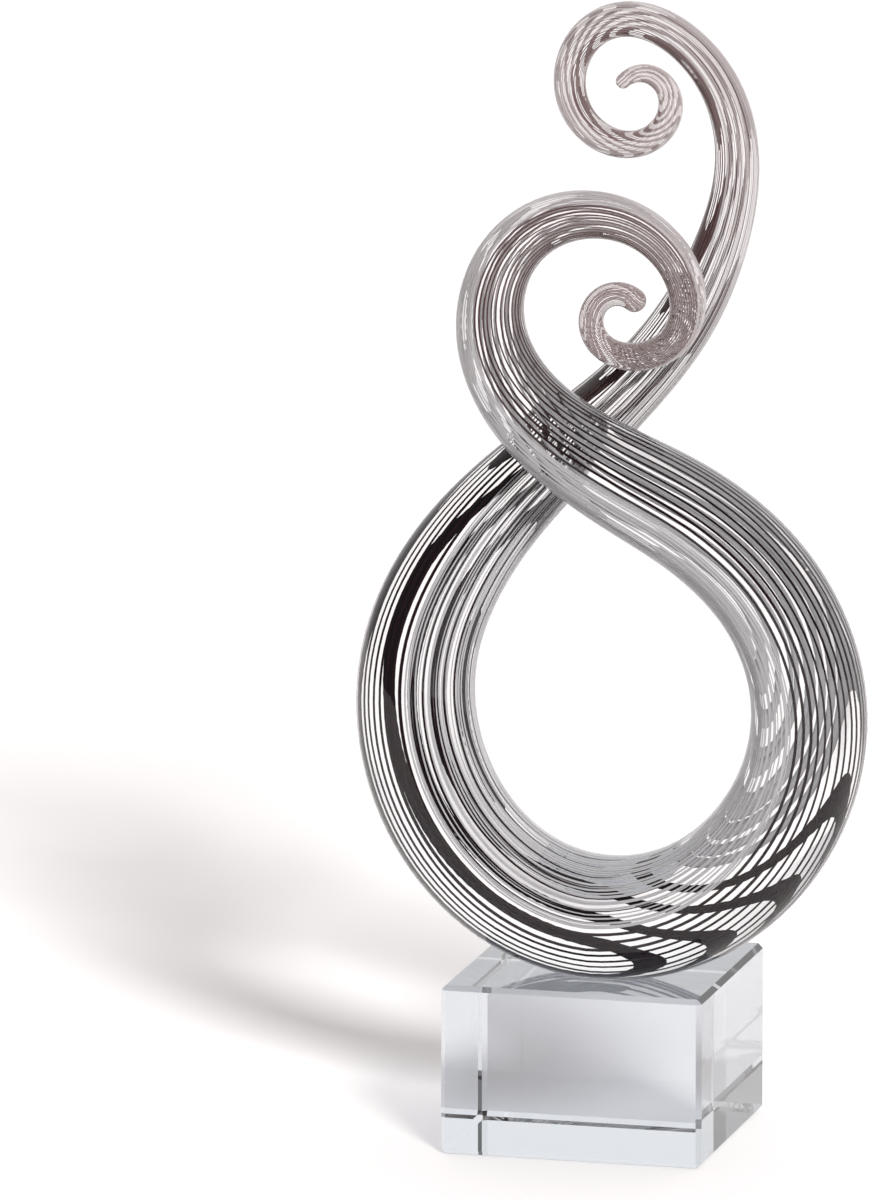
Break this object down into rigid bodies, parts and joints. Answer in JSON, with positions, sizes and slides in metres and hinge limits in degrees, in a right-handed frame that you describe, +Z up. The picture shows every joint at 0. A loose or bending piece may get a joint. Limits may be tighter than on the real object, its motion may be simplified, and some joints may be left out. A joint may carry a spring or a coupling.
{
  "type": "glass wave sculpture",
  "caption": "Solid glass rod looped into a large ring, a small ring and an open curl, with dark and white canes under its skin, bonded to a bevelled crystal block.",
  "frame": {"origin": "middle of the crystal block's underside, where the sculpture stands", "axes": "+Z up, X along the plane of the big ring with the rear curl toward +X, -Y toward the viewer in front"},
  "size_m": [0.1511, 0.0787, 0.3284],
  "materials": {
    "crystal": "polished",
    "bond": "clear cured adhesive",
    "rod_glass": "fire polished",
    "dark_cane_glass": "opaque, sealed in clear glass",
    "white_cane_glass": "opaque, sealed in clear glass"
  },
  "bodies": {
    "root": {"crystal_block": "crystal", "bond_film": "bond", "clear_glass_rod": "rod_glass", "dark_cane_01": "dark_cane_glass", "dark_cane_02": "dark_cane_glass", "dark_cane_03": "dark_cane_glass", "dark_cane_04": "dark_cane_glass", "dark_cane_05": "dark_cane_glass", "dark_cane_06": "dark_cane_glass", "dark_cane_07": "dark_cane_glass", "white_cane_01": "white_cane_glass", "white_cane_02": "white_cane_glass", "white_cane_03": "white_cane_glass", "white_cane_04": "white_cane_glass", "white_cane_05": "white_cane_glass"}
  },
  "joints": []
}
